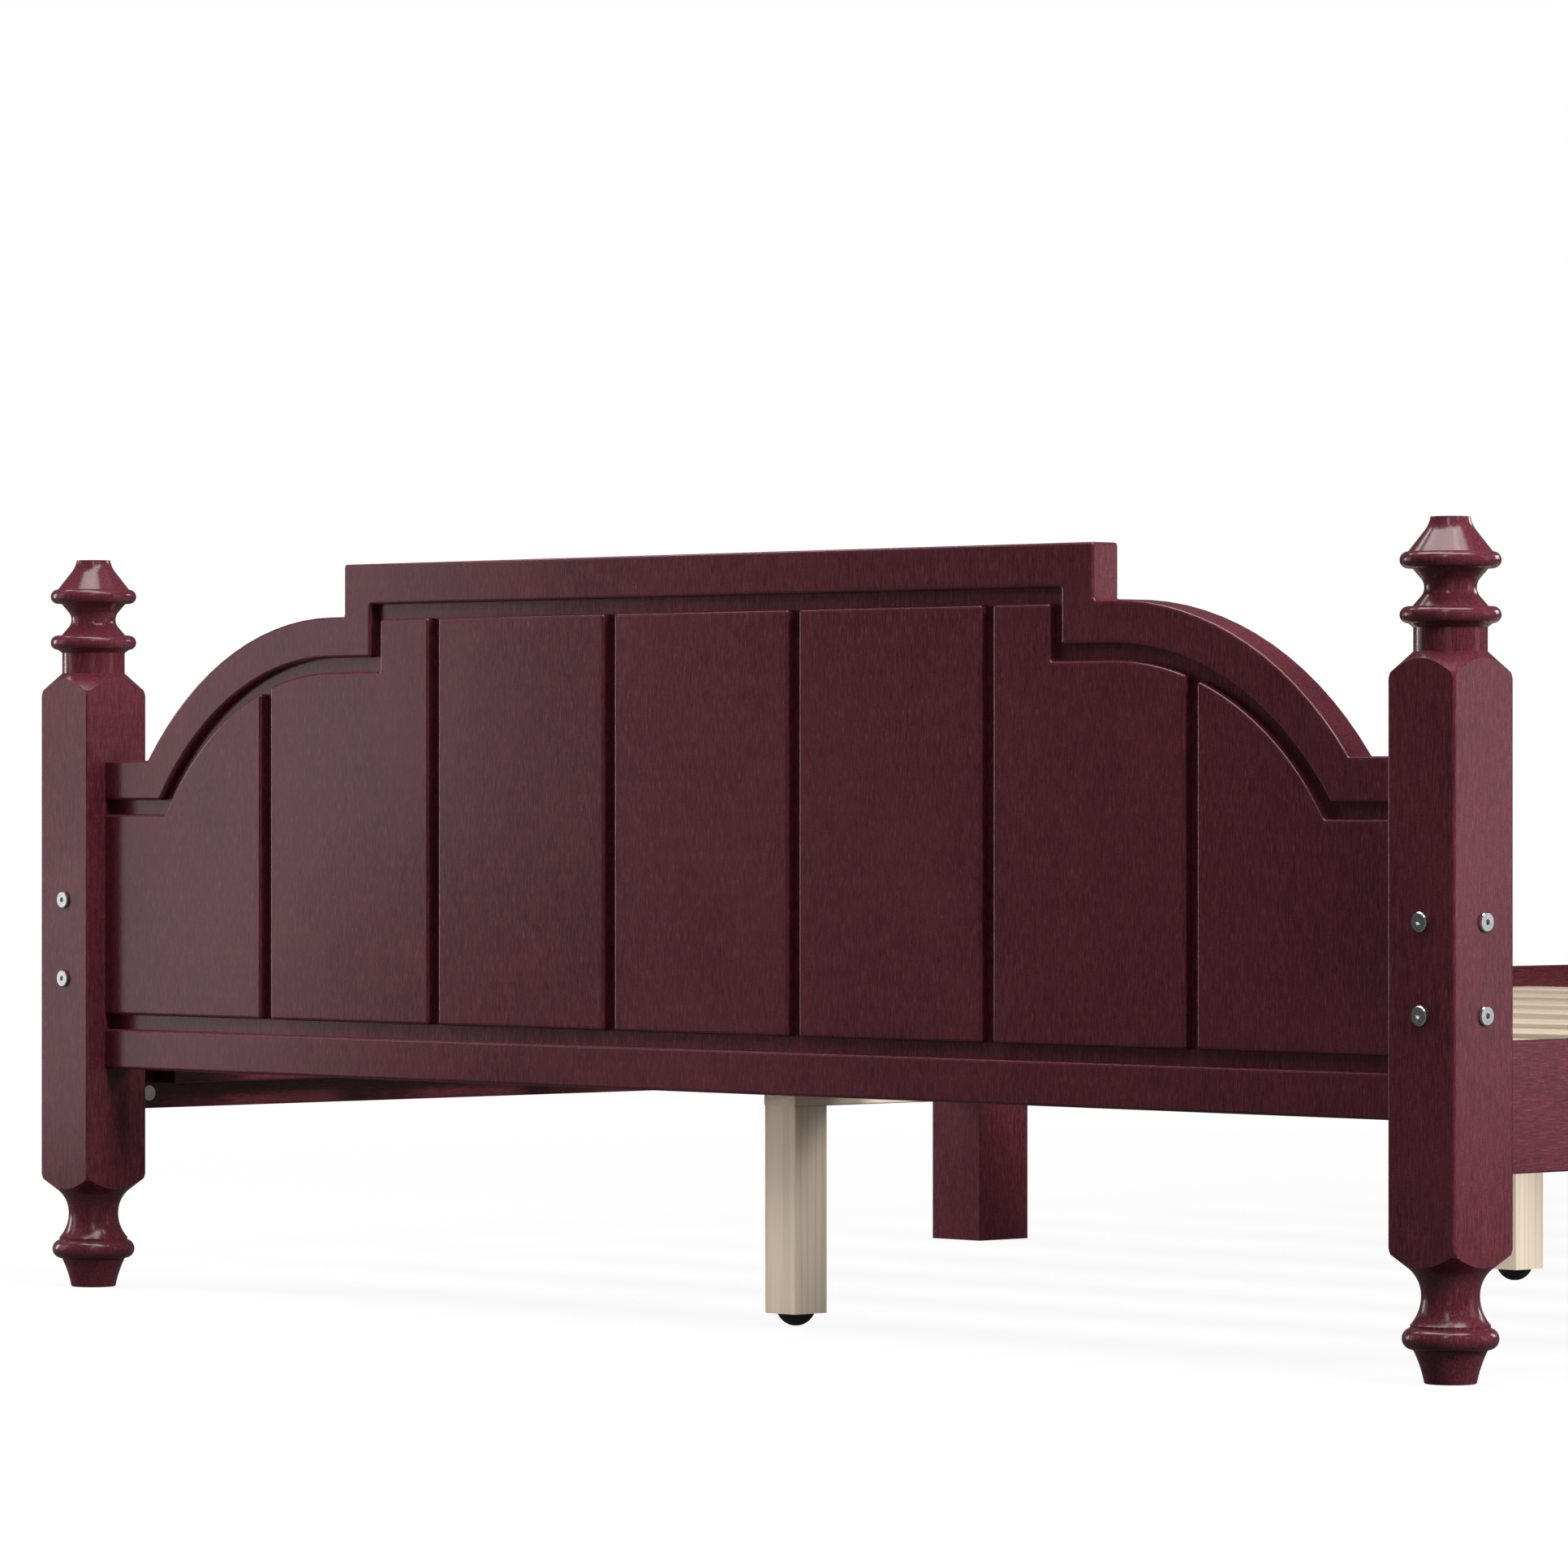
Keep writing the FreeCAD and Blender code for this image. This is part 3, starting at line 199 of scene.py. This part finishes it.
def zinc_steel():
    """Zinc-plated steel with a faint spangle and a fine grit."""
    shader = Shader("zinc_steel")
    cloud = shader.noise(shader.place(), scale=ZINC_CLOUD, detail=4.0)
    grit = shader.noise(shader.place(), scale=ZINC_GRIT, detail=2.0)
    tone = shader.mix(shader.ramp(cloud, low=0.35, high=0.70), ZINC, ZINC_DULL)
    rough = shader.ramp(grit, low=0.3, high=0.7, floor=0.16, ceiling=0.26)
    normal = shader.bump(grit, strength=0.08, distance=0.0001)
    return shader.finish(Base_Color=tone, Roughness=rough, Normal=normal, Metallic=1.0)


def black_plastic():
    """Moulded black plastic with a faint grain and paler worn patches."""
    shader = Shader("black_plastic")
    grain = shader.noise(shader.place(), scale=PLASTIC_GRAIN, detail=3.0)
    wear = shader.noise(shader.place(), scale=PLASTIC_WEAR, detail=4.0)
    tone = shader.mix(shader.ramp(wear, low=0.45, high=0.75), PLASTIC_BLACK, PLASTIC_WORN)
    rough = shader.ramp(grain, low=0.3, high=0.7, floor=0.34, ceiling=0.46)
    normal = shader.bump(grain, strength=0.10, distance=0.0001)
    return shader.finish(Base_Color=tone, Roughness=rough, Normal=normal)


# Makers of the materials, by the record's slot; wood is made once for each way of its grain
WOODS = {"stained_wood": stained_wood, "light_wood": light_pine}
OTHERS = {"zinc_steel": zinc_steel, "black_plastic": black_plastic}


def grain_axis(name):
    """Direction of the grain in a wooden node."""
    if any(word in name for word in GRAIN_ALONG_Y):
        return "Y"
    if any(word in name for word in GRAIN_ALONG_X):
        return "X"
    return "Z"


def dress_nodes():
    """Gives each CAD node its material, by its slot and the way of its grain."""
    made = {}
    for part in frame["record"]["subparts"]:
        slot, name = part["material_slot"], part["node"]
        axis = grain_axis(name) if slot in WOODS else None
        if (slot, axis) not in made:
            made[slot, axis] = WOODS[slot](axis) if axis else OTHERS[slot]()
        mesh = nodes[name].data
        mesh.materials.clear()
        mesh.materials.append(made[slot, axis])


def mix_shaders(tree, share, first, second):
    """Two shaders mixed by the share of the second."""
    return add_node(tree, "MixShader", {0: share, 1: first, 2: second}).outputs[0]


def white_for_camera(tree, dim, bright):
    """A mix of two shaders that shows the bright one to the camera, and part of it in reflections."""
    path = add_node(tree, "LightPath")
    seen = path.outputs["Is Camera Ray"]
    for ray in ("Is Glossy Ray", "Is Transmission Ray"):
        inputs = {0: path.outputs[ray], 1: SHEEN_OF_BACKGROUND, 2: seen}
        seen = add_node(tree, "Math", inputs, operation="MULTIPLY_ADD").outputs[0]
    return mix_shaders(tree, seen, dim, bright)


def floor_material():
    """A pale matt floor that turns white away from the bed."""
    material = bpy.data.materials.new("floor")
    material.use_nodes = True
    tree = material.node_tree
    tree.nodes.remove(tree.nodes["Principled BSDF"])
    pale = add_node(tree, "BsdfDiffuse", {"Color": FLOOR_PALE}).outputs[0]
    bounce = add_node(tree, "BsdfDiffuse", {"Color": FLOOR_BOUNCE}).outputs[0]
    glow = add_node(tree, "Emission", {"Color": WHITE}).outputs[0]
    place = add_node(tree, "TexCoord").outputs["Object"]
    reach = add_node(tree, "VectorMath", {0: place}, operation="LENGTH").outputs["Value"]
    near, far = FLOOR_FADE
    inputs = {"Value": reach, "From Min": near, "From Max": far, "To Min": FLOOR_WHITE_NEAR}
    fade = add_node(tree, "MapRange", inputs).outputs["Result"]
    shaded = mix_shaders(tree, fade, pale, glow)
    surface = white_for_camera(tree, bounce, shaded)
    tree.links.new(surface, tree.nodes["Material Output"].inputs["Surface"])
    return material


def make_floor():
    """A plain floor that keeps the bed's shadow."""
    half = FLOOR_SIDE / 2
    corners = [(-half, -half, 0), (half, -half, 0), (half, half, 0), (-half, half, 0)]
    mesh = bpy.data.meshes.new("floor")
    mesh.from_pydata(corners, [], [(0, 1, 2, 3)])
    mesh.materials.append(floor_material())
    floor = bpy.data.objects.new("floor", mesh)
    bpy.context.scene.collection.objects.link(floor)


def make_world():
    """Even light from all round, with a white background."""
    world = bpy.data.worlds.new("studio")
    bpy.context.scene.world = world
    world.use_nodes = True
    tree = world.node_tree
    dim = tree.nodes["Background"]
    dim.inputs["Color"].default_value = WHITE
    dim.inputs["Strength"].default_value = WORLD_LIGHT
    bright = add_node(tree, "Background", {"Color": WHITE, "Strength": WORLD_WHITE})
    surface = white_for_camera(tree, dim.outputs[0], bright.outputs[0])
    tree.links.new(surface, tree.nodes["World Output"].inputs["Surface"])


def soft_box(name, place, target, size, power, glossy=True, beam=FULL_BEAM):
    """An area lamp that the camera does not see, turned to a target; in metres, watts and degrees of beam."""
    lamp = bpy.data.lights.new(name, "AREA")
    lamp.shape = "RECTANGLE"
    lamp.size, lamp.size_y = size
    lamp.energy = power
    lamp.spread = math.radians(beam)
    made = bpy.data.objects.new(name, lamp)
    made.location = place
    made.rotation_mode = "QUATERNION"
    made.rotation_quaternion = (Vector(target) - Vector(place)).to_track_quat("-Z", "Y")
    made.visible_camera = False
    made.visible_glossy = glossy
    bpy.context.scene.collection.objects.link(made)


def make_lamps():
    """Soft light from all sides; a lamp that isn't glossy lights the wood without a sheen in its lacquer."""
    # Key light from the right, a low strip that shines under the rail, and the sheen of the right faces
    soft_box("key", (4.4, -1.25, 2.6), (0.7, -0.9, 0.4), (1.2, 1.2), 174, glossy=False)
    soft_box("key_back", (3.9, 1.2, 2.7), (0.7, -0.6, 0.4), (1.2, 1.2), 70, glossy=False)
    soft_box("low_right", (4.2, -0.4, 0.14), (0.0, -0.6, 0.1), (1.8, 0.22), 13, glossy=False)
    soft_box("right_panel", (2.9, 0.95, 1.0), (0.8, -1.05, 0.5), (1.0, 1.9), 5.3)
    # Fill light from the left, the sheen of the left planks, and a rim on their left edges
    soft_box("fill", (-1.9, -2.6, 0.3), (-0.4, -1.05, 0.35), (0.8, 0.4), 11, glossy=False)
    soft_box("fill_left", (-2.6, -2.0, 1.4), (-0.6, -1.05, 0.5), (0.8, 0.8), 42, glossy=False)
    soft_box("left_panel", (-2.15, -2.38, 0.93), (-0.8, -1.05, 0.5), (0.5, 1.24), 2.15)
    soft_box("left_low", (-2.27, -2.29, 0.17), (-0.95, -0.95, 0.17), (0.44, 0.32), 0.5)
    soft_box("left_rim", (-3.4, -1.7, 0.7), (0.0, -1.1, 0.5), (0.4, 1.2), 12)
    # Sheen of the edges that face the camera, and a narrow beam on the shaded centre leg
    soft_box("front_panel", (3.14, -4.46, 0.9), (0.3, -1.1, 0.5), (1.2, 0.7), 2)
    soft_box("front_top", (2.03, -3.38, 2.91), (0.65, -1.09, 0.5), (0.35, 1.6), 10)
    soft_box("leg_light", (0.43, -2.2, 0.07), (0.0, -0.97, 0.07), (0.12, 0.1), 0.04, glossy=False, beam=16)
    # Light from above, which also shows on the cones of the finials and on the rounded edges
    soft_box("overhead", (0.15, -1.6, 3.3), (0.15, -1.45, 0.0), (3.5, 1.3), 80)
    soft_box("overhead_right", (2.0, -0.75, 3.3), (2.0, -0.7, 0.0), (1.1, 1.2), 24)
    soft_box("upper_left", (-3.0, -1.1, 3.4), (0.0, -1.0, 0.45), (0.6, 0.6), 8)
    # Light for the head end, the left side and the slats
    soft_box("back_fill", (0.8, 4.6, 1.8), (0.0, 1.05, 0.5), (1.6, 1.6), 60)
    soft_box("left_side", (-4.4, 0.8, 1.7), (-0.8, 0.0, 0.4), (1.4, 1.4), 50, glossy=False)
    soft_box("over_bed", (0.1, 0.5, 3.6), (0.1, 0.5, 0.0), (2.0, 1.6), 3)


def make_camera():
    """The photograph's camera: level and far away, with a long lens."""
    camera = bpy.data.cameras.new("camera")
    camera.lens = CAMERA_LENS
    camera.sensor_width = SENSOR_WIDTH
    camera.clip_end = CAMERA_REACH
    level = math.cos(CAMERA_PITCH)
    east = -math.sin(CAMERA_AZIMUTH) * level
    north = math.cos(CAMERA_AZIMUTH) * level
    way = Vector((east, north, math.sin(CAMERA_PITCH)))
    made = bpy.data.objects.new("camera", camera)
    made.location = CAMERA_PLACE
    made.rotation_mode = "QUATERNION"
    made.rotation_quaternion = way.to_track_quat("-Z", "Y")
    bpy.context.scene.collection.objects.link(made)
    bpy.context.scene.camera = made


dress_nodes()
make_floor()
make_world()
make_lamps()
make_camera()
bpy.context.scene.view_settings.view_transform = "Standard"
